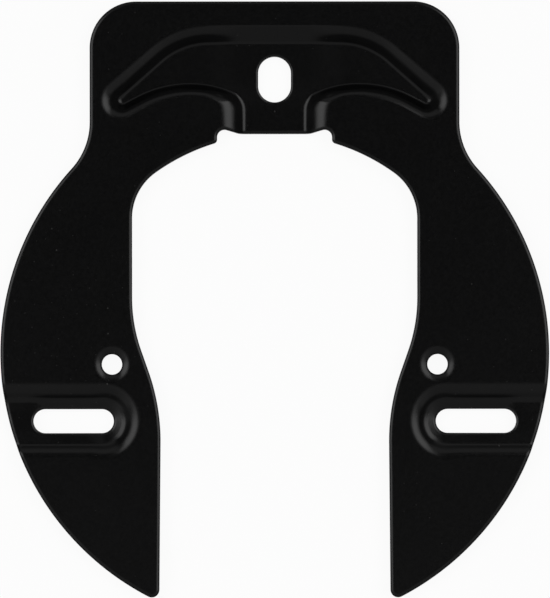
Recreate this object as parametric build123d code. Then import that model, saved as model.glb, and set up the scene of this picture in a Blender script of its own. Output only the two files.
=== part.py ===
"""Mounting plate of a bicycle ring lock: one piece of sheet steel, blanked, pressed and coated.

A rounded head carries the oval hole for the bridge bolt, and two arms reach round the tyre as a
horseshoe and end in horns. The press pushes three recesses away from the front: a winged one in the
head, which runs out at the lower edge of the tongue, and one round the slot of each arm, which runs
out at the rim. The two small round holes are drawn in. The sheet keeps its thickness, so each recess
stands out as a boss on the back.

Millimetres. +Z is the front and +Y points to the head. The plate is built with its front at Z = 0 and
the centre of the ring at the origin. The finished plate has the middle of its outline on the Z axis
and its lowest boss at Z = 0.
"""

import os
from math import asin, atan2, cos, degrees, hypot, radians, sin, sqrt, tan

from build123d import *

# Sheet, and the break that the blanking die leaves on its front edges
sheet_thickness = 2.0
edge_break = 0.5

# Ring and head
ring_radius = 68.5
head_width = 92.3
head_top = 87.8
head_depth = 33.0
head_corner_radius = 11.6
neck_radius = 17.4

# Opening for the tyre: a bay with an arched top, hips where it narrows, and the gap between the horns
bay_width = 71.2
bay_arch_drop = 0.2
bay_arch_radius = 51.2
bay_corner_radius = 14.0
hip_level = 7.1
hip_radius = 40.0
waist_level = -13.3
waist_radius = 52.0
waist_gap = 56.9
horn_splay = 0.5
horn_tip_radius = 1.9

# Bend reliefs at both sides of the tongue
relief_width = 28.7
relief_radius = 1.85
relief_height = 0.96
relief_slope = 16.0
relief_ease_radius = 4.0
relief_step_radius = 1.05

# Winged recess in the head, given by the outline of its floor
wing_depth = 2.5
wing_wall_angle = 40.0
wing_mouth_bend = 5.6
wing_floor_bend = 1.4
wing_top_margin = 10.3
wing_shoulder_radius = 18.0
wing_slope = 41.5
wing_tip_margin = 8.35
wing_tip_drop = 14.4
wing_tip_radius = 0.95
wing_arch_drop = 10.05
wing_arch_radius = 28.0
wing_neck_width = 15.2
wing_neck_radius = 5.6

# Slots in the arms, and the recesses round them, which share the slots' centre lines
slot_inset = 18.2
slot_level = -17.0
slot_width = 6.0
slot_length = 20.1
pad_depth = 1.4
pad_wall_angle = 33.0
pad_mouth_bend = 5.4
pad_floor_bend = 2.6
pad_floor_width = 10.9

# Oval hole for the bridge bolt
bridge_hole_drop = 19.4
bridge_hole_width = 8.2
bridge_hole_length = 11.4

# Small round holes, and the sheet that is drawn in round them
small_hole_spacing = 81.3
small_hole_level = -2.8
small_hole_diameter = 5.1
draw_diameter = 9.6
draw_bend = 3.85

# Levels and places that follow from these
back = -sheet_thickness
tongue_edge = head_top - head_depth
wing_top = head_top - wing_top_margin
slot_x = ring_radius - slot_inset
small_hole_x = small_hole_spacing / 2
far = 2 * ring_radius


def polar(centre, radius, angle):
    """The point of a circle at an angle, in radians from +X."""
    return (centre[0] + radius * cos(angle), centre[1] + radius * sin(angle))


def mirrored(point):
    """The same point on the left side of the plate."""
    return (-point[0], point[1])


def rounded(face, corner, radius):
    """A flat face with the corner nearest to a point, and its mirror image, rounded."""
    corners = [face.vertices().sort_by_distance((*point, 0))[0] for point in (corner, mirrored(corner))]
    return fillet(corners, radius)


def fitted(run, turn, first, second, most=0.97):
    """Two radii at the ends of a straight run, reduced together where they would use up too much of it."""
    needed = (first + second) * tan(radians(turn / 2))
    share = min(1.0, most * run / needed)
    return first * share, second * share


def blank_outline():
    """The ring and the head as one face, before the opening is cut."""
    half_head = head_width / 2
    face = Circle(ring_radius) + Pos(0, head_top / 2) * Rectangle(head_width, head_top)
    face = rounded(face, (half_head, sqrt(ring_radius**2 - half_head**2)), neck_radius)
    return rounded(face, (half_head, head_top), head_corner_radius)


def bay_outline(arch_y):
    """The opening between the arms, up to the arch of the bay, whose centre is at a given height."""
    half_bay = bay_width / 2
    half_waist = waist_gap / 2
    narrowing = half_bay - half_waist
    flank = hypot(narrowing, hip_level - waist_level)
    flank_turn = degrees(atan2(narrowing, hip_level - waist_level))
    hip, waist = fitted(flank, flank_turn, hip_radius, waist_radius)

    horn_x = half_waist + (far + waist_level) * tan(radians(horn_splay))
    right = [(horn_x, -far), (half_waist, waist_level), (half_bay, hip_level), (half_bay, far)]
    left = [mirrored(point) for point in reversed(right)]
    under_arch = Pos(0, (arch_y - far) / 2) * Rectangle(2 * far, arch_y + far)
    face = Polygon(*right, *left, align=None) & (Pos(0, arch_y) * Circle(bay_arch_radius) + under_arch)
    face = rounded(face, (half_bay, arch_y + sqrt(bay_arch_radius**2 - half_bay**2)), bay_corner_radius)
    face = rounded(face, (half_bay, hip_level), hip)
    return rounded(face, (half_waist, waist_level), waist)


def relief_outline(low_y):
    """The gap under the tongue with the relief at each end, down to a given height."""
    half_relief = relief_width / 2
    slope = radians(relief_slope)
    centre = (half_relief - relief_radius, tongue_edge + relief_height - relief_radius)
    touch = polar(centre, relief_radius, radians(90) + slope)
    corner = (half_relief, touch[1] + (half_relief - touch[0]) * tan(slope))
    foot = (touch[0] - (touch[1] - tongue_edge) / tan(slope), tongue_edge)
    right = [(half_relief, low_y), corner, foot]
    left = [mirrored(point) for point in reversed(right)]
    face = Polygon(*right, *left, align=None)
    face = rounded(face, corner, relief_radius)
    return rounded(face, foot, relief_ease_radius)


def plate_outline():
    """The face of the whole blank, without its holes."""
    half_relief = relief_width / 2
    arch_y = tongue_edge - bay_arch_drop - bay_arch_radius
    step_y = arch_y + sqrt(bay_arch_radius**2 - half_relief**2)
    opening = bay_outline(arch_y) + relief_outline(arch_y)
    opening = rounded(opening, (half_relief, step_y), relief_step_radius)
    face = blank_outline() - opening
    half_gap = waist_gap / 2
    return rounded(face, (half_gap, -sqrt(ring_radius**2 - half_gap**2)), horn_tip_radius)


def wing_outline(grow, level, near=0.001):
    """The wing, grown evenly from its floor line, as a face at a level.

    Every arc keeps its centre while the outline grows, so that the outlines run parallel. A straight
    line joins two arcs that don't meet. The wing is closed below the tongue, where the blank is open.
    """
    tip = (head_width / 2 - wing_tip_margin, wing_top - wing_tip_drop)
    side = radians(90 - wing_slope)
    shoulder_y = wing_top - wing_shoulder_radius
    touch = polar(tip, wing_tip_radius - wing_shoulder_radius, side)
    shoulder = (touch[0] + (touch[1] - shoulder_y) * tan(side), shoulder_y)

    arch_y = wing_top - wing_arch_drop - wing_arch_radius
    arch_reach = wing_arch_radius + wing_tip_radius
    arch = (tip[0] - sqrt(arch_reach**2 - (tip[1] - arch_y) ** 2), arch_y)
    half_neck = wing_neck_width / 2
    neck_x = half_neck + wing_neck_radius
    neck_reach = wing_arch_radius - wing_neck_radius
    neck = (neck_x, arch_y + sqrt(neck_reach**2 - (neck_x - arch[0]) ** 2))
    end = (half_neck / 2, tongue_edge - wing_neck_width)
    end_radius = half_neck - end[0] + grow
    tip_to_arch = atan2(arch[1] - tip[1], arch[0] - tip[0])
    arch_to_neck = atan2(neck[1] - arch[1], neck[0] - arch[0])

    arcs = [
        (shoulder, wing_shoulder_radius + grow, radians(90), side),
        (tip, wing_tip_radius + grow, side, tip_to_arch),
        (arch, wing_arch_radius - grow, tip_to_arch + radians(180), arch_to_neck),
        (neck, wing_neck_radius - grow, arch_to_neck, radians(180)),
        (end, end_radius, 0, radians(-90)),
    ]
    edges = []
    last = (0, wing_top + grow)
    for centre, radius, start, stop in arcs:
        points = [polar(centre, radius, angle) for angle in (start, (start + stop) / 2, stop)]
        for flip in (tuple, mirrored):
            edges.append(ThreePointArc(*[flip(point) for point in points]))
            if hypot(points[0][0] - last[0], points[0][1] - last[1]) > near:
                edges.append(Line(flip(last), flip(points[0])))
        last = points[-1]
    edges.append(Line(last, mirrored(last)))
    return Pos(0, 0, level) * make_face(edges)


def pad_outline(side):
    """The outline of a slot's recess on one side of the plate, as a function like wing_outline."""
    inner_x = slot_x - (slot_length - slot_width) / 2
    run = far - inner_x

    def outline(grow, level):
        slot = SlotCenterToCenter(run, pad_floor_width + 2 * grow)
        return Pos(side * (inner_x + run / 2), slot_level, level) * slot

    return outline


def outline_edges(solid, face, near=0.001):
    """The edges of a solid that run along the outline of a flat face."""
    loop = face.face().outer_wire()
    level = face.center().Z
    flat = solid.edges().filter_by_position(Axis.Z, level - near, level + near)
    return [edge for edge in flat if loop.distance_to(edge.position_at(0.5)) < near]


def press_recess(sheet, outline, depth, wall_angle, mouth_bend, floor_bend):
    """Press a recess into the front of the sheet, with the boss that it makes on the back.

    The wall on the back lies a sheet thickness from the wall on the front, so its outline is larger.
    """
    wall = depth / sin(radians(wall_angle))
    spread = depth / tan(radians(wall_angle))
    back_grow = sheet_thickness * tan(radians(wall_angle / 2))
    mouth_bend, floor_bend = fitted(wall, wall_angle, mouth_bend, floor_bend)

    mouth = outline(spread, 0)
    floor = outline(0, -depth)
    back_mouth = outline(spread + back_grow, back)
    back_floor = outline(back_grow, back - depth)
    sheet = sheet + loft([back_mouth, back_floor], ruled=True)
    sheet = sheet - loft([mouth, floor], ruled=True)
    sheet = fillet(outline_edges(sheet, mouth), mouth_bend)
    sheet = fillet(outline_edges(sheet, floor), floor_bend)
    sheet = fillet(outline_edges(sheet, back_floor), floor_bend + sheet_thickness)
    return fillet(outline_edges(sheet, back_mouth), mouth_bend - sheet_thickness)


def turned(bend, start, lean, base):
    """A disc with a hollow rounded flank, turned about Z, from a base level down to its flat end."""
    end = (start - bend * sin(lean), base - bend * (1 - cos(lean)))
    middle = (start - bend * sin(lean / 2), base - bend * (1 - cos(lean / 2)))
    profile = [
        Line((0, base), (start, base)),
        ThreePointArc((start, base), middle, end),
        Polyline(end, (0, end[1]), (0, base)),
    ]
    return revolve(Plane.XZ * make_face(profile), Axis.Z)


def draw_hole(sheet, x):
    """Draw the sheet in round a small hole: a rounded funnel on the front and a low lip behind."""
    lip = draw_diameter / 2
    lean = asin((lip - small_hole_diameter / 2) / draw_bend)
    place = Pos(x, small_hole_level)
    sheet = sheet + place * turned(draw_bend - sheet_thickness, lip, lean, back)
    return sheet - place * turned(draw_bend, lip, lean, 0)


def front_rim(plate, upright=0.01, facing=0.5):
    """The edges between the cut walls and the front, told apart by how far their faces look up."""
    walls = [face for face in plate.faces() if abs(face.normal_at().Z) < upright]
    fronts = [face for face in plate.faces() if face.normal_at().Z > facing]
    wall_edges = set(edge for face in walls for edge in face.edges())
    return [edge for face in fronts for edge in face.edges() if edge in wall_edges]


def pressed_sheet():
    """The sheet with its recesses and drawn holes, larger than the plate all round."""
    sheet = Pos(0, 0, back / 2) * Box(4 * far, 4 * far, sheet_thickness)
    wing = (wing_depth, wing_wall_angle, wing_mouth_bend, wing_floor_bend)
    pad = (pad_depth, pad_wall_angle, pad_mouth_bend, pad_floor_bend)
    sheet = press_recess(sheet, wing_outline, *wing)
    for side in (-1, 1):
        sheet = press_recess(sheet, pad_outline(side), *pad)
        sheet = draw_hole(sheet, side * small_hole_x)
    return sheet


def mounting_plate():
    """The finished plate in its own frame."""
    bridge_hole = SlotOverall(bridge_hole_length, bridge_hole_width, rotation=90)
    face = plate_outline() - Pos(0, head_top - bridge_hole_drop) * bridge_hole
    for side in (-1, 1):
        face = face - Pos(side * slot_x, slot_level) * SlotOverall(slot_length, slot_width)
    plate = pressed_sheet() & extrude(face, far, both=True)
    plate = chamfer(front_rim(plate), edge_break)
    for side in (-1, 1):
        plate = plate - Pos(side * small_hole_x, small_hole_level) * Cylinder(small_hole_diameter / 2, far)
    box = plate.bounding_box()
    return Pos(0, -box.center().Y, -box.min.Z) * plate


os.makedirs("parts", exist_ok=True)
plate = mounting_plate()
print("size", plate.bounding_box().size, "volume", plate.volume)
export_step(plate, "parts/mounting_plate.step")
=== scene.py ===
"""Looks of the bike lock bracket: a pressed steel plate with a satin black coat, lying on a white table.

The plate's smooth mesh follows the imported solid, with small differences at its walls, dips and rims, and
stands in its place. Lengths are millimetres, with the centre of the ring at the origin and the flat front
at height 0, until a mesh is made.
"""

import logging
from dataclasses import dataclass, field, replace
from enum import Enum
from math import asin, atan2, ceil, cos, degrees, hypot, pi, radians, sin, sqrt, tan

import bpy
import numpy as np
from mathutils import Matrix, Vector
from mathutils.geometry import delaunay_2d_cdt
from mathutils.kdtree import KDTree


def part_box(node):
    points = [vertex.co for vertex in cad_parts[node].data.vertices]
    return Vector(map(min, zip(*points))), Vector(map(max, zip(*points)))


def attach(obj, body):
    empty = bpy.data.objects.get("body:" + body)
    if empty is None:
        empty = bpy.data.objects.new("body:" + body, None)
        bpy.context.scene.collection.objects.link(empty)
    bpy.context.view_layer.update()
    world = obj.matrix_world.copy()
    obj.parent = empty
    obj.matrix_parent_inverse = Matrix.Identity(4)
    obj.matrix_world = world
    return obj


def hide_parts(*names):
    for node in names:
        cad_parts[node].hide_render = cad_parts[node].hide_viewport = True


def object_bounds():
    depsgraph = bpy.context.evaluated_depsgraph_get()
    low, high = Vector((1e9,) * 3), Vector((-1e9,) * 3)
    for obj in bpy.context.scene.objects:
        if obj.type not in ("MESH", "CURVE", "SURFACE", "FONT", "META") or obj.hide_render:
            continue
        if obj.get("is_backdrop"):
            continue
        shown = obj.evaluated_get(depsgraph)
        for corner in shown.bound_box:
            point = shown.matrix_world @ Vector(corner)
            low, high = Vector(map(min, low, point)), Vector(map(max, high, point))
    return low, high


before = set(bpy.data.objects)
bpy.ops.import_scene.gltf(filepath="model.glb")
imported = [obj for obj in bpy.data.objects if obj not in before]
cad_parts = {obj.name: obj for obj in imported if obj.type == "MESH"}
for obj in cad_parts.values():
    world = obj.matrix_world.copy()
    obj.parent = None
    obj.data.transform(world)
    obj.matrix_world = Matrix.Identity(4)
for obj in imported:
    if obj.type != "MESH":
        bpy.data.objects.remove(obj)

MM = 0.001
SHEET = 2.0
NODE = "mounting_plate"
BODY = "root"
Colour = tuple[float, float, float, float]
Socket = bpy.types.NodeSocket
Feed = Socket | float | tuple[float, ...]
log = logging.getLogger("bracket")


class Turn(Enum):
    """The side that a path turns to along an arc."""

    LEFT = 1
    RIGHT = -1


class Side(Enum):
    """The two faces of the sheet."""

    FRONT = 1
    BACK = -1


class Hand(Enum):
    """The left and right halves of the plate and of the room."""

    LEFT = -1
    BOTH = 0
    RIGHT = 1


@dataclass(frozen=True)
class Arc:
    """A round stretch of a path."""

    x: float
    y: float
    radius: float
    turn: Turn

    @property
    def bend(self) -> float:
        """The radius, positive where the centre lies to the left of the path."""
        return self.radius * self.turn.value

    def mirrored(self) -> "Arc":
        """The same arc on the other half of the plate."""
        return replace(self, x=-self.x)


class Belt:
    """A smooth closed path round a row of arcs, with straight lines between them.

    What it bounds, the sheet or the floor of a pressing, lies to its left. Lengths and angles under the
    value of touching count as none, and between two sampled points the path turns by widest_turn at most.
    """

    touching: float = 1e-5
    widest_turn: float = radians(9)

    def __init__(self, arcs: list[Arc]) -> None:
        """Find the lines that join the arcs.

        Args:
            arcs: the arcs in the order of the path.
        """
        self.arcs = arcs
        self.leaving = [self._heading(a, b) for a, b in zip(arcs, arcs[1:] + arcs[:1])]
        self.arriving = self.leaving[-1:] + self.leaving[:-1]
        self.sweeps = [self._sweep(*ends) for ends in zip(arcs, self.arriving, self.leaving)]

    @staticmethod
    def _heading(first: Arc, second: Arc) -> float:
        """The direction of the line that touches two arcs, in radians.

        Args:
            first: the arc that the line leaves.
            second: the arc that the line joins.

        Returns:
            The line's direction from +X.
        """
        across, along = second.x - first.x, second.y - first.y
        lean = (second.bend - first.bend) / hypot(across, along)
        return atan2(along, across) - asin(max(-1.0, min(1.0, lean)))

    def _sweep(self, arc: Arc, start: float, stop: float) -> float:
        """The angle that the path turns by along an arc, between two headings, negative to the right."""
        turn = (arc.turn.value * (stop - start)) % (2 * pi)
        return arc.turn.value * (0.0 if turn > 2 * pi - self.touching else turn)

    @staticmethod
    def _left(heading: np.ndarray) -> np.ndarray:
        """The directions to the left of some headings."""
        return np.stack([-np.sin(heading), np.cos(heading)], axis=-1)

    def _run(self, index: int) -> tuple[np.ndarray, np.ndarray, float]:
        """The straight line after an arc.

        Args:
            index: the number of the arc.

        Returns:
            The start of the line, its direction and its length.
        """
        arc, following = self.arcs[index], self.arcs[(index + 1) % len(self.arcs)]
        heading = self.leaving[index]
        left = self._left(np.array(heading))
        start = np.array([arc.x, arc.y]) - arc.bend * left
        stop = np.array([following.x, following.y]) - following.bend * left
        direction = np.array([cos(heading), sin(heading)])
        return start, direction, float((stop - start) @ direction)

    def sample(self, step: float) -> tuple[np.ndarray, np.ndarray]:
        """Points along the path.

        Args:
            step: the longest stretch between two points.

        Returns:
            The points, and the direction to the left of the path at each.
        """
        places, lefts = [], []
        for index, arc in enumerate(self.arcs):
            sweep = self.sweeps[index]
            count = max(1, ceil(abs(sweep) * max(arc.radius / step, 1 / self.widest_turn)))
            headings = self.arriving[index] + sweep * np.arange(count + 1) / count
            start, direction, length = self._run(index)
            if length < self.touching:
                headings = headings[:-1]
            left = self._left(headings)
            places.append(np.array([arc.x, arc.y]) - arc.bend * left)
            lefts.append(left)
            pieces = ceil(length / step) if length > self.touching else 0
            for piece in range(1, pieces):
                places.append((start + direction * (length * piece / pieces))[None, :])
                lefts.append(self._left(np.array([self.leaving[index]])))
        return np.concatenate(places), np.concatenate(lefts)

    def distance(self, places: np.ndarray) -> np.ndarray:
        """How far places lie from the path.

        Args:
            places: points, one to a row.

        Returns:
            The distance of each point, positive to the left of the path.
        """
        nearest = np.full(len(places), np.inf)
        for index, arc in enumerate(self.arcs):
            side = arc.turn.value
            away = places - np.array([arc.x, arc.y])
            heading = np.arctan2(side * away[:, 0], -side * away[:, 1])
            turned = (side * (heading - self.arriving[index]) + self.touching) % (2 * pi)
            on_arc = turned <= abs(self.sweeps[index]) + 2 * self.touching
            off = side * (arc.radius - np.hypot(away[:, 0], away[:, 1]))
            nearest = np.where(on_arc & (np.abs(off) < np.abs(nearest)), off, nearest)
            start, direction, length = self._run(index)
            away = places - start
            along = away @ direction
            off = away @ np.array([-direction[1], direction[0]])
            on_run = (along > -self.touching) & (along < length + self.touching)
            nearest = np.where(on_run & (np.abs(off) < np.abs(nearest)), off, nearest)
        return nearest


def mirror_belt(half: list[Arc]) -> Belt:
    """The path whose left half has these arcs, from the top of the plate downwards."""
    return Belt(half + [arc.mirrored() for arc in reversed(half)])


def slot_belt(x: float, y: float, across: float, along: float, turn: Turn) -> Belt:
    """The path round a slot.

    Args:
        x: the slot's middle on the X axis.
        y: the slot's middle on the Y axis.
        across: its whole size along X.
        along: its whole size along Y.
        turn: LEFT to keep the slot on the left of the path, RIGHT to keep the sheet there.

    Returns:
        The path.
    """
    radius = min(across, along) / 2
    reach_x, reach_y = across / 2 - radius, along / 2 - radius
    low = Arc(x - reach_x, y - reach_y, radius, turn)
    high = Arc(x + reach_x, y + reach_y, radius, turn)
    return Belt([low, high])


def corner_centre(corner: tuple[float, float], radius: float, *normals: np.ndarray) -> np.ndarray:
    """The centre of an arc that rounds the corner between two lines, which their unit normals point to."""
    first, second = normals
    return np.array(corner) + radius * (first + second) / (1 + first @ second)


@dataclass
class PlateOutline:
    """The edge of the plate: a ring with a head on top and an opening for the tyre."""

    ring_radius: float = 68.5
    head_width: float = 92.3
    head_top: float = 87.8
    head_depth: float = 33.0
    head_corner_radius: float = 11.6
    neck_radius: float = 17.4
    bay_width: float = 71.2
    bay_arch_drop: float = 0.2
    bay_arch_radius: float = 51.2
    bay_corner_radius: float = 14.0
    hip_level: float = 7.1
    hip_radius: float = 40.0
    waist_level: float = -13.3
    waist_radius: float = 52.0
    waist_gap: float = 56.9
    flank_share: float = 0.97
    horn_splay: float = 0.5
    horn_tip_radius: float = 1.9
    relief_width: float = 28.7
    relief_radius: float = 1.85
    relief_height: float = 0.96
    relief_slope: float = 16.0
    relief_ease_radius: float = 4.0
    relief_step_radius: float = 1.05

    @property
    def tongue_edge(self) -> float:
        """The level of the tongue's lower edge."""
        return self.head_top - self.head_depth

    def head_arcs(self) -> list[Arc]:
        """The arcs of the left half of the head and ring.

        Returns:
            The head's corner, the neck and the ring.
        """
        half = self.head_width / 2
        corner = self.head_corner_radius
        neck_x = half + self.neck_radius
        neck_y = sqrt((self.ring_radius + self.neck_radius) ** 2 - neck_x**2)
        return [
            Arc(corner - half, self.head_top - corner, corner, Turn.LEFT),
            Arc(-neck_x, neck_y, self.neck_radius, Turn.RIGHT),
            Arc(0.0, 0.0, self.ring_radius, Turn.LEFT),
        ]

    def horn_arcs(self) -> list[Arc]:
        """The arcs of the left horn.

        Returns:
            The tip, the waist and the hip.
        """
        half_bay, half_waist = self.bay_width / 2, self.waist_gap / 2
        splay = radians(self.horn_splay)
        tip = self.horn_tip_radius
        lean = tan(splay)
        gap = half_waist + lean * self.waist_level + tip / cos(splay)
        reach = self.ring_radius - tip
        spread = 1 + lean**2
        tip_y = (gap * lean - sqrt((gap * lean) ** 2 - spread * (gap**2 - reach**2))) / spread
        flank = np.array([half_bay - half_waist, self.hip_level - self.waist_level])
        length = hypot(*flank)
        needed = (self.hip_radius + self.waist_radius) * tan(atan2(*flank) / 2)
        share = min(1.0, self.flank_share * length / needed)
        into_sheet = np.array([flank[1], -flank[0]]) / length
        beside_gap = np.array([cos(splay), sin(splay)])
        waist_radius, hip_radius = self.waist_radius * share, self.hip_radius * share
        waist = corner_centre((half_waist, self.waist_level), waist_radius, beside_gap, into_sheet)
        hip = corner_centre((half_bay, self.hip_level), hip_radius, np.array([-1.0, 0.0]), -into_sheet)
        return [
            Arc(lean * tip_y - gap, tip_y, tip, Turn.LEFT),
            Arc(-waist[0], waist[1], waist_radius, Turn.LEFT),
            Arc(-hip[0], hip[1], hip_radius, Turn.RIGHT),
        ]

    def bay_arcs(self) -> list[Arc]:
        """The arcs of the left half of the bay and of the tongue's edge.

        Returns:
            The bay's corner, its arch, the step, the bend relief and the ease to the tongue.
        """
        half_bay, half_relief = self.bay_width / 2, self.relief_width / 2
        arch = self.bay_arch_radius
        arch_y = self.tongue_edge - self.bay_arch_drop - arch
        corner, step = self.bay_corner_radius, self.relief_step_radius
        corner_x, step_x = half_bay - corner, half_relief + step
        corner_y = arch_y + sqrt((arch - corner) ** 2 - corner_x**2)
        step_y = arch_y + sqrt((arch + step) ** 2 - step_x**2)
        relief, ease = self.relief_radius, self.relief_ease_radius
        slope = radians(self.relief_slope)
        relief_x = half_relief - relief
        relief_y = self.tongue_edge + self.relief_height - relief
        touch_x, touch_y = relief_x - relief * sin(slope), relief_y + relief * cos(slope)
        foot_x = touch_x - (touch_y - self.tongue_edge) / tan(slope)
        ease_x = foot_x - ease * tan(slope / 2)
        return [
            Arc(-corner_x, corner_y, corner, Turn.RIGHT),
            Arc(0.0, arch_y, arch, Turn.RIGHT),
            Arc(-step_x, step_y, step, Turn.LEFT),
            Arc(-relief_x, relief_y, relief, Turn.RIGHT),
            Arc(-ease_x, self.tongue_edge + ease, ease, Turn.LEFT),
        ]

    def belt(self) -> Belt:
        """The whole edge, with the sheet on its left."""
        return mirror_belt(self.head_arcs() + self.horn_arcs() + self.bay_arcs())


def ramp(values: np.ndarray, start: float, stop: float) -> np.ndarray:
    """A smooth step from 0 at the start to 1 at the stop, for each of the values."""
    share = np.clip((values - start) / (stop - start), 0.0, 1.0)
    return share * share * (3 - 2 * share)


@dataclass(frozen=True)
class PressProfile:
    """The section of a pressed wall: a floor bend, a slope and a mouth bend."""

    depth: float
    wall_angle: float
    mouth_bend: float
    floor_bend: float
    sheet: float = SHEET
    samples: int = 200

    @property
    def start(self) -> float:
        """Where the floor bend starts, counted outwards from the floor line."""
        return -self.floor_bend * tan(radians(self.wall_angle) / 2)

    @property
    def stop(self) -> float:
        """Where the mouth bend ends, counted outwards from the floor line."""
        angle = radians(self.wall_angle)
        return self.depth / tan(angle) + self.mouth_bend * tan(angle / 2)

    def height(self, outwards: np.ndarray, side: Side) -> np.ndarray:
        """The change of height that the press makes.

        Args:
            outwards: distances from the floor line.
            side: the face of the sheet.

        Returns:
            The heights, 0 on the flat sheet.
        """
        tilt = np.linspace(0.0, radians(self.wall_angle), self.samples)
        back_tilt = tilt[::-1]
        floor_x = self.start + self.floor_bend * np.sin(tilt)
        floor_z = self.floor_bend * (1 - np.cos(tilt)) - self.depth
        mouth_x = self.stop - self.mouth_bend * np.sin(back_tilt)
        mouth_z = self.mouth_bend * (np.cos(back_tilt) - 1)
        x = np.concatenate([floor_x, mouth_x])
        z = np.concatenate([floor_z, mouth_z])
        if side is Side.BACK:
            tilts = np.concatenate([tilt, back_tilt])
            x = x + self.sheet * np.sin(tilts)
            z = z + self.sheet * (1 - np.cos(tilts))
        return np.interp(outwards, x, z)


@dataclass
class WingRecess:
    """The winged recess in the head, which runs out at the tongue's edge."""

    outline: PlateOutline
    profile: PressProfile = PressProfile(2.5, 40.0, 5.6, 1.6)
    bridge_profile: PressProfile = PressProfile(2.2, 24.8, 0.8, 1.2)
    bridge_zone: tuple[float, float] = (18.5, 8.0)
    bridge_rise: tuple[float, float] = (60.0, 70.0)
    tip_profile: PressProfile = PressProfile(2.5, 38.5, 5.4, 2.2)
    tip_zone: tuple[float, float] = (36.6, 38.6)
    top_margin: float = 10.3
    top_wall: float = 4.5
    shoulder_radius: float = 18.0
    slope: float = 41.5
    tip_margin: float = 8.27
    tip_drop: float = 14.28
    tip_radius: float = 0.95
    tip_wall: float = 4.15
    tip_mouth_shift: float = 0.9
    arch_drop: float = 10.25
    arch_radius: float = 28.0
    arch_wall: float = 3.24
    arch_shift: float = 0.45
    arch_mouth_shift: float = 0.75
    neck_width: float = 15.4
    neck_radius: float = 4.8
    neck_mouth: float = 28.1
    neck_mouth_radius: float = 0.5
    neck_mouth_end: float = 24.8
    neck_drop: float = 0.75
    neck_drop_zone: tuple[float, float] = (17.5, 12.5)
    least_wall: float = 0.5
    crease: float = 0.15
    crease_share: tuple[float, float] = (0.2, 0.6)
    crease_zone: tuple[float, float] = (22.0, 18.0)

    def __post_init__(self) -> None:
        """Lay out the line round the floor and the line round the mouth."""
        top = self.outline.head_top - self.top_margin
        tip_x, tip_y = self.tip_margin - self.outline.head_width / 2, top - self.tip_drop
        side = radians(90 - self.slope)
        shoulder_y = top - self.shoulder_radius
        reach = self.shoulder_radius - self.tip_radius
        touch_x, touch_y = tip_x + reach * cos(side), tip_y - reach * sin(side)
        shoulder_x = touch_x - (touch_y - shoulder_y) * tan(side)
        arch_y = top - self.arch_drop - self.arch_radius
        arch_reach = sqrt((self.arch_radius + self.tip_radius) ** 2 - (tip_y - arch_y) ** 2)
        arch_x = tip_x + arch_reach + self.arch_shift
        shoulder = Arc(shoulder_x, shoulder_y, self.shoulder_radius, Turn.LEFT)
        tip = Arc(tip_x, tip_y, self.tip_radius, Turn.LEFT)
        arch = Arc(arch_x, arch_y, self.arch_radius, Turn.RIGHT)
        mouth_shoulder = replace(shoulder, radius=shoulder.radius + self.top_wall)
        mouth_tip = replace(tip, x=tip.x - self.tip_mouth_shift, radius=tip.radius + self.tip_wall)
        mouth_arch = replace(arch, x=arch.x + self.arch_mouth_shift, radius=arch.radius - self.arch_wall)
        floor_neck = self._neck(arch, self.neck_width, self.neck_radius, self.neck_width)
        mouth_neck = self._neck(mouth_arch, self.neck_mouth, self.neck_mouth_radius, self.neck_mouth_end)
        self.arches = (arch, mouth_arch)
        self.neck_top = mouth_neck[1].y
        self.floor = mirror_belt([shoulder, tip, *floor_neck])
        self.mouth = mirror_belt([mouth_shoulder, mouth_tip, *mouth_neck])

    @property
    def neck_end(self) -> float:
        """The level of the neck's closed end, outside the plate."""
        return self.outline.tongue_edge - self.neck_width

    def _neck(self, arch: Arc, width: float, corner: float, end: float) -> list[Arc]:
        """The left half of a line along the arch and down the neck, closed below the tongue.

        Args:
            arch: the arch.
            width: the width where the neck starts.
            corner: the radius of the corner between the arch and the neck.
            end: the width at the closed end, which has a round corner at each side.

        Returns:
            The arch, the corner and the end.
        """
        corner_x = -width / 2 - corner
        corner_y = arch.y + sqrt((arch.radius - corner) ** 2 - (corner_x - arch.x) ** 2)
        return [
            arch,
            Arc(corner_x, corner_y, corner, Turn.RIGHT),
            Arc(-end / 4, self.neck_end, end / 4, Turn.LEFT),
        ]

    def _creased(self, aside: np.ndarray, level: np.ndarray) -> np.ndarray:
        """How far out places lie on the walls of the arch and of the neck, which meet in a soft crease.

        Beside the neck the arch's mouth line lies a little lower than its arc.

        Args:
            aside: the places' distances from the middle of the plate.
            level: the places' heights on the Y axis.

        Returns:
            The share of the wall, 0 at the floor line and 1 at the mouth line.
        """
        inner, outer = self.arches
        from_floor = inner.radius - np.hypot(aside + inner.x, level - inner.y)
        from_mouth = np.hypot(aside + outer.x, level - outer.y) - outer.radius
        from_mouth += self.neck_drop * ramp(aside, *self.neck_drop_zone)
        on_arch = from_floor / np.maximum(from_floor + from_mouth, self.least_wall)
        rise = (level - self.neck_end) / (self.neck_top - self.neck_end)
        mouth = self.neck_mouth_end + (self.neck_mouth - self.neck_mouth_end) * rise
        on_neck = (2 * aside - self.neck_width) / np.maximum(mouth - self.neck_width, self.least_wall)
        return (on_arch + on_neck - np.hypot(on_arch - on_neck, self.crease)) / 2

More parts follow.
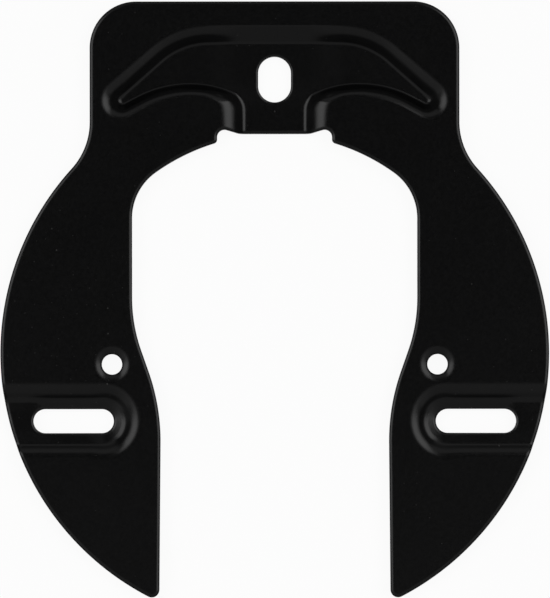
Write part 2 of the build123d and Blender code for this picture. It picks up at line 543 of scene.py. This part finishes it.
    def height(self, places: np.ndarray, side: Side) -> np.ndarray:
        """The change of height at some places.

        Args:
            places: points on the sheet.
            side: the face of the sheet.

        Returns:
            The heights, 0 on the flat sheet. The wall is a plain ramp above the bridge hole, its foot is
            rounder at the tips, and it has a soft crease at each side of the neck.
        """
        from_floor = -self.floor.distance(places)
        width = from_floor + self.mouth.distance(places)
        share = from_floor / np.maximum(width, self.least_wall)
        aside = np.abs(places[:, 0])
        creased = self._creased(aside, places[:, 1])
        share += (creased - share) * ramp(creased, *self.crease_share) * ramp(aside, *self.crease_zone)
        outwards = self.profile.stop * share
        bridge = ramp(aside, *self.bridge_zone) * ramp(places[:, 1], *self.bridge_rise)
        tip = ramp(aside, *self.tip_zone)
        level = 0.0
        for profile, amount in (
            (self.profile, (1 - bridge) * (1 - tip)),
            (self.bridge_profile, bridge),
            (self.tip_profile, tip),
        ):
            level = level + amount * profile.height(outwards, side)
        return level


@dataclass
class SlotPad:
    """The slot of one arm, and the recess round it, which runs out at the rim."""

    outline: PlateOutline
    hand: Hand
    profile: PressProfile = PressProfile(1.57, 30.5, 5.6, 2.6)
    upper_profile: PressProfile = PressProfile(1.55, 34.5, 6.6, 2.1)
    rim_profile: PressProfile = PressProfile(1.34, 25.5, 6.6, 2.1)
    rim_zone: tuple[float, float] = (5.5, 12.5)
    lower_profile: PressProfile = PressProfile(1.2, 31.0, 4.2, 1.6)
    end_shift: float = 0.2
    lower_shift: float = 0.3
    end_dish: float = 0.155
    top_dish: float = 0.10
    dish_edge: float = 1.75
    dish_lead: float = 1.0
    end_blend: float = 4.0
    inset: float = 18.2
    level: float = -17.0
    width: float = 6.0
    length: float = 20.1
    floor_width: float = 10.9

    def __post_init__(self) -> None:
        """Lay out the line round the floor, which is closed outside the plate."""
        inner = self.middle - self.hand.value * (self.straight + self.floor_width / 2)
        outer = self.hand.value * 2 * self.outline.ring_radius
        middle, length = (inner + outer) / 2, abs(outer - inner)
        self.floor = slot_belt(middle, self.level, length, self.floor_width, Turn.LEFT)

    @property
    def middle(self) -> float:
        """The slot's middle on the X axis."""
        return self.hand.value * (self.outline.ring_radius - self.inset)

    @property
    def straight(self) -> float:
        """Half the length of the slot's straight stretch."""
        return self.length / 2 - self.width / 2

    def edge_belt(self) -> Belt:
        """The edge of the slot, with the sheet on its left."""
        return slot_belt(self.middle, self.level, self.length, self.width, Turn.RIGHT)

    def height(self, places: np.ndarray, side: Side) -> np.ndarray:
        """The change of height at some places.

        Args:
            places: points on the sheet.
            side: the face of the sheet.

        Returns:
            The heights, 0 on the flat sheet. The floor dips to the slot, least at its outer end, and
            the upper wall is gentler near the rim.
        """
        outwards = -self.floor.distance(places)
        half, straight = self.width / 2, self.straight
        inwards = self.hand.value * (self.middle - places[:, 0])
        rise = places[:, 1] - self.level
        past_end = np.clip(inwards - straight, 0.0, None)
        away = np.maximum(np.hypot(past_end, rise), half / 2)
        end = ramp(inwards, straight - self.end_blend, straight + self.floor_width / 2)
        upper = ramp(rise, -half, half)
        rim = ramp(-inwards, *self.rim_zone)
        level = end * self.profile.height(outwards - self.end_shift, side)
        level += (1 - end) * upper * (1 - rim) * self.upper_profile.height(outwards, side)
        level += (1 - end) * upper * rim * self.rim_profile.height(outwards, side)
        level += (1 - end) * (1 - upper) * self.lower_profile.height(outwards - self.lower_shift, side)
        above = (past_end / away) ** 2
        below = ramp(inwards, -straight, straight)
        dish = self.end_dish * np.where(rise > 0, above, below)
        dish += self.top_dish * np.clip(rise, 0.0, None) / away
        edge = half + self.dish_edge * ramp(-inwards, straight - self.dish_lead, straight + half)
        reach = (self.floor_width - self.width) / 2
        return level - dish * np.clip(reach + half - np.maximum(away, edge), 0.0, reach)


@dataclass
class DrawnHole:
    """A small round hole with the sheet drawn in round it."""

    hand: Hand
    spacing: float = 81.3
    level: float = -2.8
    diameter: float = 5.1
    draw_diameter: float = 9.6
    draw_bend: float = 5.0
    sheet: float = SHEET

    @property
    def middle(self) -> float:
        """The hole's middle on the X axis."""
        return self.hand.value * self.spacing / 2

    def ring(self, diameter: float, turn: Turn) -> Belt:
        """A circle round the hole's middle, as two half circles that a hair of a line joins."""
        hair = 2 * Belt.touching
        return slot_belt(self.middle, self.level, diameter + hair, diameter, turn)

    def height(self, places: np.ndarray, side: Side) -> np.ndarray:
        """The change of height at some places.

        Args:
            places: points on the sheet.
            side: the face of the sheet.

        Returns:
            The heights, 0 on the flat sheet.
        """
        away = np.hypot(places[:, 0] - self.middle, places[:, 1] - self.level)
        inwards = np.clip(self.draw_diameter / 2 - away, 0.0, None)
        steepest = (self.draw_diameter - self.diameter) / 2 / self.draw_bend
        bend = self.draw_bend if side is Side.FRONT else self.draw_bend - self.sheet
        inwards = np.minimum(inwards, bend * steepest)
        return np.sqrt(bend**2 - inwards**2) - bend


@dataclass(frozen=True)
class Graph:
    """The nodes of a material or of the room."""

    tree: bpy.types.NodeTree

    def feed(self, node: bpy.types.Node, inputs: dict[str | int, Feed]) -> None:
        """Set or link inputs of a node.

        Args:
            node: the node.
            inputs: for each input, a plain value or the output that feeds it.
        """
        for name, value in inputs.items():
            if isinstance(value, Socket):
                self.tree.links.new(value, node.inputs[name])
            else:
                node.inputs[name].default_value = value

    def add(self, kind: str, inputs: dict[str | int, Feed], operation: str = "") -> bpy.types.Node:
        """Add a node.

        Args:
            kind: the node's type, without the word that all of them start with.
            inputs: for each input, a plain value or the output that feeds it.
            operation: what the node does, where it has the choice.

        Returns:
            The node.
        """
        node = self.tree.nodes.new("ShaderNode" + kind)
        if operation:
            node.operation = operation
        self.feed(node, inputs)
        return node

    def value(self, operation: str, *inputs: Feed) -> Socket:
        """What an operation makes of one or two numbers."""
        return self.add("Math", dict(enumerate(inputs)), operation).outputs["Value"]

    def step(self, value: Socket, start: float, stop: float, low: float = 0.0, high: float = 1.0) -> Socket:
        """A smooth step.

        Args:
            value: the number that the step depends on.
            start: where the step leaves its low end.
            stop: where it reaches its high end.
            low: its height at the start.
            high: its height at the stop.

        Returns:
            The step's height.
        """
        ends = {"From Min": start, "From Max": stop, "To Min": low, "To Max": high}
        node = self.add("MapRange", {"Value": value, **ends})
        node.interpolation_type = "SMOOTHSTEP"
        return node.outputs["Result"]

    def blend(self, share: Socket, first: Feed, second: Feed) -> Socket:
        """Blend two colours.

        Args:
            share: how much of the second colour there is.
            first: the first colour.
            second: the second colour.

        Returns:
            The colour between them.
        """
        node = self.tree.nodes.new("ShaderNodeMix")
        node.data_type = "RGBA"
        self.feed(node, {"Factor": share, "A": first, "B": second})
        return node.outputs["Result"]


@dataclass(frozen=True)
class Specks:
    """Specks of dust of one kind: one in some of the cells of a scattered pattern, with a soft edge."""

    cell: float
    size: float
    share: float
    strength: float
    softness: float = 3.0


@dataclass(frozen=True)
class SatinBlackCoat:
    """The black coat of the plate, with a fine grain and a few specks of dust."""

    deep: Colour = (0.0006, 0.0006, 0.0007, 1.0)
    light: Colour = (0.0030, 0.0030, 0.0031, 1.0)
    dust: Colour = (0.05, 0.05, 0.049, 1.0)
    smooth: float = 0.172
    rough: float = 0.246
    shine: float = 0.26
    cloud_size: float = 18.0
    tone_grain: float = 0.8
    tone_grain_size: float = 0.8
    grain_size: float = 0.4
    grain_depth: float = 0.008
    noise_detail: float = 3.0
    specks: tuple[Specks, ...] = (Specks(7.0, 0.25, 0.25, 1.0), Specks(3.2, 0.16, 0.75, 0.6))
    dusty_middle: tuple[float, float, float] = (-57.0, -3.0, 4.5)
    dusty_reach: tuple[float, float] = (14.0, 34.0)
    dust_elsewhere: float = 0.15

    def material(self) -> bpy.types.Material:
        """Make the coat: two near blacks and two grades of satin in clouds and grain, with specks of dust.

        Returns:
            The material.
        """
        made = bpy.data.materials.new("satin_black_coat")
        made.use_nodes = True
        graph = Graph(made.node_tree)
        local = graph.add("TexCoord", {}).outputs["Object"]
        place = graph.add("VectorMath", {0: local, "Scale": 1 / MM}, "SCALE").outputs["Vector"]
        fine = graph.value("MULTIPLY", self._noise(graph, place, self.tone_grain_size), self.tone_grain)
        wide = graph.value("MULTIPLY", self._noise(graph, place, self.cloud_size), 1 - self.tone_grain)
        uneven = graph.value("ADD", fine, wide)
        tone = graph.blend(uneven, self.deep, self.light)
        satin = graph.add("MapRange", {"Value": uneven, "To Min": self.smooth, "To Max": self.rough})
        height = self._noise(graph, place, self.grain_size)
        bump = graph.add("Bump", {"Strength": 1.0, "Distance": self.grain_depth * MM, "Height": height})
        finish = {
            "Base Color": graph.blend(self._dust(graph, place), tone, self.dust),
            "Roughness": satin.outputs["Result"],
            "Specular IOR Level": self.shine,
            "Normal": bump.outputs["Normal"],
        }
        graph.feed(made.node_tree.nodes["Principled BSDF"], finish)
        return made

    def _noise(self, graph: Graph, place: Socket, size: float) -> Socket:
        """Clouds of soft noise of a given size in millimetres."""
        inputs = {"Vector": place, "Scale": 1 / size, "Detail": self.noise_detail}
        return graph.add("TexNoise", inputs).outputs["Fac"]

    def _dust(self, graph: Graph, place: Socket) -> Socket:
        """Specks of dust, most of them on one side of the ring.

        Args:
            graph: the material's nodes.
            place: the place in millimetres.

        Returns:
            The amount of dust.
        """
        away = graph.add("VectorMath", {0: place, 1: self.dusty_middle}, "DISTANCE").outputs["Value"]
        thick = graph.step(away, *self.dusty_reach, 1.0, self.dust_elsewhere)
        total = None
        for kind in self.specks:
            cells = graph.add("TexVoronoi", {"Vector": place, "Scale": 1 / kind.cell})
            cells.voronoi_dimensions = "2D"
            chance = graph.add("SeparateColor", {"Color": cells.outputs["Color"]}).outputs
            edge = kind.size / kind.cell
            speck = graph.step(cells.outputs["Distance"], edge, edge / kind.softness, high=kind.strength)
            limit = graph.value("MULTIPLY", thick, kind.share)
            picked = graph.value("LESS_THAN", chance["Red"], limit)
            shade = graph.value("MULTIPLY", picked, chance["Green"])
            amount = graph.value("MULTIPLY", shade, speck)
            total = amount if total is None else graph.value("MAXIMUM", total, amount)
        return total


@dataclass
class Rim:
    """A cut edge of the sheet: rolled in at the front, and a little rounded at the back."""

    belt: Belt
    roll: float
    roll_drop: float
    step: float = 0.6
    burr: float = 0.2
    segments: int = 8
    levels: int = 4
    places: np.ndarray = field(init=False)
    lefts: np.ndarray = field(init=False)

    def __post_init__(self) -> None:
        """Take the points of the edge."""
        self.places, self.lefts = self.belt.sample(self.step)

    def tilts(self) -> np.ndarray:
        """The tilts of the rounded edge, from upright at the cut to level inside."""
        return np.linspace(pi / 2, 0.0, self.segments + 1)


def put_in_scene(name: str, data: bpy.types.ID) -> bpy.types.Object:
    """Make an object and put it in the scene.

    Args:
        name: the object's name.
        data: its mesh or camera.

    Returns:
        The object.
    """
    made = bpy.data.objects.new(name, data)
    bpy.context.scene.collection.objects.link(made)
    return made


@dataclass
class MountingPlate:
    """The whole plate as one smooth closed mesh.

    A roll holds how wide an edge is rolled in and how deep. The gaps to a rim and between two points are
    shares of the step between points.
    """

    outline: PlateOutline = field(default_factory=PlateOutline)
    sheet: float = SHEET
    edge_roll: tuple[float, float] = (1.0, 0.42)
    slot_roll: tuple[float, float] = (0.7, 0.3)
    hole_roll: tuple[float, float] = (0.4, 0.16)
    wall_step: float = 0.42
    wall_margin: float = 2.0
    flat_step: float = 2.4
    slope_step: float = 0.02
    rim_gap: float = 0.5
    least_gap: float = 0.62
    join_gap: float = 1e-7
    bridge_drop: float = 19.4
    bridge_width: float = 8.2
    bridge_length: float = 11.4

    def __post_init__(self) -> None:
        """Lay out the pressings and the cut edges."""
        self.wing = WingRecess(self.outline)
        self.pads = [SlotPad(self.outline, hand) for hand in (Hand.LEFT, Hand.RIGHT)]
        self.holes = [DrawnHole(hand) for hand in (Hand.LEFT, Hand.RIGHT)]
        self.pressings = [self.wing, *self.pads, *self.holes]
        bridge_y = self.outline.head_top - self.bridge_drop
        bridge = slot_belt(0.0, bridge_y, self.bridge_width, self.bridge_length, Turn.RIGHT)
        self.rims = [Rim(self.outline.belt(), *self.edge_roll), Rim(bridge, *self.slot_roll)]
        self.rims += [Rim(pad.edge_belt(), *self.slot_roll) for pad in self.pads]
        self.rims += [Rim(hole.ring(hole.diameter, Turn.RIGHT), *self.hole_roll) for hole in self.holes]

    def height(self, places: np.ndarray, side: Side) -> np.ndarray:
        """The heights of one face of the sheet at some places, without its rounded edges."""
        level = 0.0 if side is Side.FRONT else -self.sheet
        return level + sum(pressing.height(places, side) for pressing in self.pressings)

    def normal(self, places: np.ndarray, side: Side) -> np.ndarray:
        """The directions that one face of the sheet looks in.

        Args:
            places: points on the sheet.
            side: the face of the sheet.

        Returns:
            Unit vectors that point out of the sheet.
        """
        slopes = []
        for shift in np.eye(2) * self.slope_step:
            rise = self.height(places + shift, side) - self.height(places - shift, side)
            slopes.append(-rise / (2 * self.slope_step))
        upwards = np.stack([*slopes, np.ones(len(places))], axis=1) * side.value
        return upwards / np.linalg.norm(upwards, axis=1, keepdims=True)

    def inside(self, places: np.ndarray, margin: float) -> np.ndarray:
        """Which places lie on the flat of the sheet, clear of its cut edges.

        Args:
            places: points.
            margin: the least distance from a rounded edge.

        Returns:
            True for each place that does.
        """
        clear = np.ones(len(places), bool)
        for rim in self.rims:
            clear &= rim.belt.distance(places) > rim.roll + margin
        return clear

    def wall_places(self) -> np.ndarray:
        """Points in rows along the pressed walls.

        Returns:
            The points.
        """
        rows = []
        for pressing in (self.wing, *self.pads):
            path, lefts = pressing.floor.sample(self.wall_step)
            start = pressing.profile.start - self.wall_margin
            stop = pressing.profile.stop + self.wall_margin
            for outwards in np.linspace(start, stop, ceil((stop - start) / self.wall_step)):
                row = path - outwards * lefts
                on_row = np.abs(pressing.floor.distance(row) + outwards) < self.slope_step
                rows.append(row[on_row])
        for hole in self.holes:
            steps = ceil((hole.draw_diameter - hole.diameter) / 2 / self.wall_step)
            for width in np.linspace(hole.diameter, hole.draw_diameter, 1 + steps):
                rows.append(hole.ring(width, Turn.LEFT).sample(self.wall_step)[0])
        return np.concatenate(rows)

    def flat_places(self) -> np.ndarray:
        """Points in a pattern of even triangles over the whole plate.

        Returns:
            The points.
        """
        reach = ceil(2 * self.outline.ring_radius / self.flat_step)
        columns, rows = np.meshgrid(np.arange(-reach, reach + 1), np.arange(-reach, reach + 1))
        x = (columns + 0.5 * (rows % 2)) * self.flat_step
        y = rows * self.flat_step * sqrt(0.75)
        return np.stack([x.ravel(), y.ravel()], axis=1)

    @staticmethod
    def apart(places: np.ndarray, others: np.ndarray, gap: float) -> np.ndarray:
        """Thin out places that lie too close to each other or to others.

        Args:
            places: points to choose from.
            others: points that stay.
            gap: the least distance.

        Returns:
            The places that are kept.
        """
        tree = KDTree(len(others))
        for index, (x, y) in enumerate(others):
            tree.insert((x, y, 0.0), index)
        tree.balance()
        kept, cells = [], {}
        for x, y in places:
            if tree.find((x, y, 0.0))[2] < gap:
                continue
            column, row = int(x // gap), int(y // gap)
            near = [cells.get((column + i, row + j)) for i in (-1, 0, 1) for j in (-1, 0, 1)]
            if any(other and hypot(other[0] - x, other[1] - y) < gap for other in near):
                continue
            cells[column, row] = (x, y)
            kept.append((x, y))
        return np.array(kept)

    def sheet_places(self) -> tuple[np.ndarray, list[tuple[int, int]]]:
        """The points of the sheet inside its rounded edges.

        Returns:
            The points, the inner rows of the rims first, and the pairs that make up those rows.
        """
        inner = [rim.places + rim.roll * rim.lefts for rim in self.rims]
        pairs, first = [], 0
        for row in inner:
            count = len(row)
            pairs += [(first + i, first + (i + 1) % count) for i in range(count)]
            first += count
        kept = np.concatenate(inner)
        for places, step in ((self.wall_places(), self.wall_step), (self.flat_places(), self.flat_step)):
            candidates = places[self.inside(places, step * self.rim_gap)]
            kept = np.concatenate([kept, self.apart(candidates, kept, step * self.least_gap)])
        return kept, pairs

    def triangles(self, places: np.ndarray, pairs: list[tuple[int, int]]) -> np.ndarray:
        """Join the points of the sheet.

        Args:
            places: the points.
            pairs: the points that make up the edges.

        Returns:
            The corners of each triangle, counter-clockwise seen from the front.
        """
        corners = [Vector(place) for place in places]
        inside_pairs = 1
        _, _, faces, origin, _, _ = delaunay_2d_cdt(corners, pairs, [], inside_pairs, self.join_gap)
        number = [origins[0] for origins in origin]
        joined = np.array([[number[i] for i in face] for face in faces])
        joined = joined[self.inside(places[joined].mean(axis=1), 0.0)]
        first, second, third = (places[joined[:, i]] for i in range(3))
        ahead, aside = second - first, third - first
        backwards = ahead[:, 0] * aside[:, 1] < ahead[:, 1] * aside[:, 0]
        joined[backwards] = joined[backwards][:, ::-1]
        return joined

    def mesh(self) -> bpy.types.Mesh:
        """Make the mesh of the plate.

        Returns:
            The mesh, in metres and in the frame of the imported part.
        """
        places, pairs = self.sheet_places()
        joined = self.triangles(places, pairs)
        points, normals, faces = [], [], []
        sheet_first = {}
        for side in Side:
            sheet_first[side] = sum(map(len, points))
            points.append(np.column_stack([places, self.height(places, side)]))
            normals.append(self.normal(places, side))
            faces += (joined[:, ::side.value] + sheet_first[side]).tolist()
        row_start = 0
        for rim in self.rims:
            count = len(rim.places)
            strip = [np.arange(count) + row_start + sheet_first[Side.FRONT]]
            end = np.arange(count) + row_start + sheet_first[Side.BACK]
            row_start += count
            for row_points, row_normals in self.rim_rows(rim):
                strip.append(np.arange(count) + sum(map(len, points)))
                points.append(row_points)
                normals.append(row_normals)
            strip.append(end)
            for upper, lower in zip(strip, strip[1:]):
                following_upper, following_lower = np.roll(upper, -1), np.roll(lower, -1)
                quads = np.stack([upper, lower, following_lower, following_upper], axis=1)
                faces += quads.tolist()
        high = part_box(NODE)[1]
        shift = np.array([0.0, high.y / MM - self.outline.head_top, high.z / MM])
        made = bpy.data.meshes.new(NODE + "_skin")
        made.from_pydata(((np.concatenate(points) + shift) * MM).tolist(), [], faces)
        made.polygons.foreach_set("use_smooth", np.ones(len(faces), bool))
        made.normals_split_custom_set_from_vertices(np.concatenate(normals).tolist())
        made.validate()
        return made

    def rim_rows(self, rim: Rim) -> list[tuple[np.ndarray, np.ndarray]]:
        """The rows of points round a cut edge, from the front to the back.

        Args:
            rim: the edge.

        Returns:
            The points and normals of each row, without the rows that the faces of the sheet have.
        """
        outwards = np.column_stack([-rim.lefts, np.zeros(len(rim.lefts))])
        rows = []
        for side, radius, depth in ((Side.FRONT, rim.roll, rim.roll_drop), (Side.BACK, rim.burr, rim.burr)):
            half = []
            for tilt in rim.tilts()[:-1]:
                inset = radius * (1 - sin(tilt))
                row = rim.places + inset * rim.lefts
                drop = depth * (1 - cos(tilt)) * side.value
                level = self.height(row, side) - drop
                leaning = radius * cos(tilt) * self.normal(row, side) + depth * sin(tilt) * outwards
                leaning /= np.linalg.norm(leaning, axis=1, keepdims=True)
                half.append((np.column_stack([row, level]), leaning))
            if side is Side.FRONT:
                rows += half[::-1]
            else:
                top, bottom = rows[-1][0], half[0][0]
                for level in range(1, rim.levels):
                    share = level / rim.levels
                    rows.append((top + (bottom - top) * share, outwards))
                rows += half
                last = rim.places + radius * rim.lefts
                rows.append((np.column_stack([last, self.height(last, side)]), self.normal(last, side)))
        return rows

    def build(self, coat: SatinBlackCoat) -> bpy.types.Object:
        """Make the plate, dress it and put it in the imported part's place.

        Args:
            coat: the finish.

        Returns:
            The plate.
        """
        plate = put_in_scene("plate_skin", self.mesh())
        plate.data.materials.append(coat.material())
        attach(plate, BODY)
        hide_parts(NODE)
        return plate


@dataclass(frozen=True)
class WhiteTable:
    """The pale table that the plate lies on, a hair below the bosses so that no two faces share a plane.

    Its size is in metres, and the gap below the bosses in millimetres.
    """

    size: float = 8.0
    gap: float = 0.02
    colour: Colour = (0.96, 0.96, 0.96, 1.0)
    roughness: float = 0.9
    shine: float = 0.1
    glow: float = 0.93

    def build(self) -> bpy.types.Object:
        """Make the table.

        Returns:
            The table's object.
        """
        half, level = self.size / 2, -self.gap * MM
        corners = [(-half, -half, level), (half, -half, level), (half, half, level), (-half, half, level)]
        mesh = bpy.data.meshes.new("white_table")
        mesh.from_pydata(corners, [], [(0, 1, 2, 3)])
        table = put_in_scene("white_table", mesh)
        mesh.materials.append(self.material())
        table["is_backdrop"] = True
        return table

    def material(self) -> bpy.types.Material:
        """A matt white that the camera sees as white, with the plate's shadow left in it.

        Returns:
            The material.
        """
        made = bpy.data.materials.new("white_table")
        made.use_nodes = True
        graph, nodes = Graph(made.node_tree), made.node_tree.nodes
        matt = nodes["Principled BSDF"]
        finish = {"Base Color": self.colour, "Roughness": self.roughness, "Specular IOR Level": self.shine}
        graph.feed(matt, finish)
        rays = graph.add("LightPath", {}).outputs
        seen = rays["Is Camera Ray"]
        for ray in ("Is Glossy Ray", "Is Transmission Ray"):
            seen = graph.value("MAXIMUM", seen, rays[ray])
        share = graph.value("MULTIPLY", seen, self.glow)
        white = graph.add("Emission", {}).outputs["Emission"]
        mixed = graph.add("MixShader", {"Fac": share, 1: matt.outputs["BSDF"], 2: white})
        graph.feed(nodes["Material Output"], {"Surface": mixed.outputs["Shader"]})
        return made


@dataclass(frozen=True)
class SoftLight:
    """A bright part of the room with soft edges.

    The zenith counts from straight up. The light's middle faces a direction that counts from the side
    towards the head, and its azimuth counts from there. Zenith and azimuth hold where the light starts,
    where it is full, where it stops being full and where it ends, in degrees. The narrowing is the share
    of its azimuth that the light loses for each degree of zenith beyond the middle height.
    """

    hand: Hand
    brightness: float
    zenith: tuple[float, float, float, float]
    facing: float
    azimuth: tuple[float, float, float, float]
    narrowing: float = 0.0
    middle_height: float = 35.0

    @staticmethod
    def edges(ends: tuple[float, float, float, float]) -> list[tuple[float, float]]:
        """Where each of the two soft edges along an angle is dark and where it is bright, in radians."""
        start, full, fading, end = (radians(value) for value in ends)
        return [(start, full), (end, fading)]


@dataclass(frozen=True)
class Studio:
    """A dim room: large soft lights at both sides, weaker ones at the horns and the head, a low glow."""

    colour: Colour = (1.0, 1.0, 1.0, 1.0)
    dim: float = 0.034
    lights: tuple[SoftLight, ...] = (
        SoftLight(Hand.LEFT, 2.9, (12.5, 24.5, 37.0, 59.0), 15.0, (-43.0, -11.0, 21.0, 33.0), 0.015),
        SoftLight(Hand.RIGHT, 2.9, (12.5, 24.5, 37.0, 59.0), 15.0, (-43.0, -11.0, 31.0, 43.0), 0.015),
        SoftLight(Hand.BOTH, 0.40, (2.0, 13.5, 51.0, 63.0), -90.0, (-20.0, -10.0, 56.0, 68.0)),
        SoftLight(Hand.LEFT, 0.30, (8.0, 20.0, 60.0, 74.0), -25.0, (-40.0, -5.0, 15.0, 35.0)),
        SoftLight(Hand.RIGHT, 0.25, (8.0, 20.0, 48.0, 64.0), -25.0, (-40.0, -5.0, 15.0, 35.0)),
        SoftLight(Hand.BOTH, 0.50, (22.0, 34.0, 52.0, 64.0), 90.0, (-42.0, -30.0, 10.0, 20.0)),
        SoftLight(Hand.BOTH, 0.058, (54.0, 68.0, 110.0, 120.0), 0.0, (-120.0, -100.0, 100.0, 120.0)),
    )

    def build(self) -> None:
        """Make the room's light."""
        world = bpy.data.worlds.new("room")
        world.use_nodes = True
        graph = Graph(world.node_tree)
        zenith, azimuths = self._angles(graph)
        total = None
        for light in self.lights:
            lit = self._lit(graph, zenith, azimuths[light.hand], light)
            total = lit if total is None else graph.value("ADD", total, lit)
        strength = graph.value("ADD", total, self.dim)
        graph.feed(world.node_tree.nodes["Background"], {"Color": self.colour, "Strength": strength})
        bpy.context.scene.world = world
        bpy.context.scene.view_settings.view_transform = "Standard"

    @staticmethod
    def _angles(graph: Graph) -> tuple[Socket, dict[Hand, Socket]]:
        """The direction of a ray as angles.

        Args:
            graph: the room's nodes.

        Returns:
            The zenith, and the azimuth counted from the left, from the right and from the nearer side.
        """
        direction = graph.add("TexCoord", {}).outputs["Generated"]
        parts = graph.add("SeparateXYZ", {"Vector": direction}).outputs
        sideways = {
            Hand.LEFT: graph.value("MULTIPLY", parts["X"], -1.0),
            Hand.BOTH: graph.value("ABSOLUTE", parts["X"]),
            Hand.RIGHT: parts["X"],
        }
        azimuths = {hand: graph.value("ARCTAN2", parts["Y"], x) for hand, x in sideways.items()}
        return graph.value("ARCCOSINE", parts["Z"]), azimuths

    @staticmethod
    def _lit(graph: Graph, zenith: Socket, azimuth: Socket, light: SoftLight) -> Socket:
        """The brightness of one soft light.

        Args:
            graph: the room's nodes.
            zenith: the zenith of a ray.
            azimuth: the azimuth of a ray.
            light: the light.

        Returns:
            The brightness in each direction.
        """
        beyond = graph.value("SUBTRACT", zenith, radians(light.middle_height))
        scale = graph.value("ADD", graph.value("MULTIPLY", beyond, degrees(light.narrowing)), 1.0)
        aside = graph.value("MULTIPLY", graph.value("SUBTRACT", azimuth, radians(light.facing)), scale)
        lit = None
        for angle, ends in ((zenith, light.zenith), (aside, light.azimuth)):
            for dark, bright in light.edges(ends):
                edge = graph.step(angle, dark, bright)
                lit = edge if lit is None else graph.value("MULTIPLY", lit, edge)
        return graph.value("MULTIPLY", lit, light.brightness)


@dataclass(frozen=True)
class OverheadCamera:
    """The camera straight above the plate, with the photograph's frame and its slight turn.

    The distance and how far it sees are in metres, a pixel and the sensor in millimetres, and the roll in
    degrees. The middle of the plate is given in pixels.
    """

    distance: float = 1.0
    image_size: tuple[int, int] = (550, 598)
    pixel: float = 0.2495
    middle: tuple[float, float] = (274.7, 299.4)
    roll: float = -0.05
    sensor: float = 36.0
    sight: float = 20.0

    def build(self, level: float) -> bpy.types.Object:
        """Make the camera and use it.

        Args:
            level: the height of the plate's front, in metres.

        Returns:
            The camera's object.
        """
        camera = bpy.data.cameras.new("overhead_camera")
        camera.sensor_width = self.sensor
        field_size = max(self.image_size) * self.pixel * MM
        camera.lens = self.sensor * self.distance / field_size
        camera.clip_end = self.sight
        stand = put_in_scene("overhead_camera", camera)
        width, height = self.image_size
        x = (width / 2 - self.middle[0]) * self.pixel * MM
        y = (self.middle[1] - height / 2) * self.pixel * MM
        stand.location = (x, y, level + self.distance)
        stand.rotation_euler = (0.0, 0.0, radians(self.roll))
        bpy.context.scene.camera = stand
        return stand


def main() -> None:
    """Build the plate, its table, the light and the camera."""
    logging.basicConfig(level=logging.INFO, format="%(name)s: %(message)s")
    solid_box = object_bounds()
    for piece in (MountingPlate().build(SatinBlackCoat()), WhiteTable().build()):
        log.info("%s: %d points, %d faces", piece.name, len(piece.data.vertices), len(piece.data.polygons))
    Studio().build()
    OverheadCamera().build(solid_box[1].z)


if __name__ == "__main__":
    main()
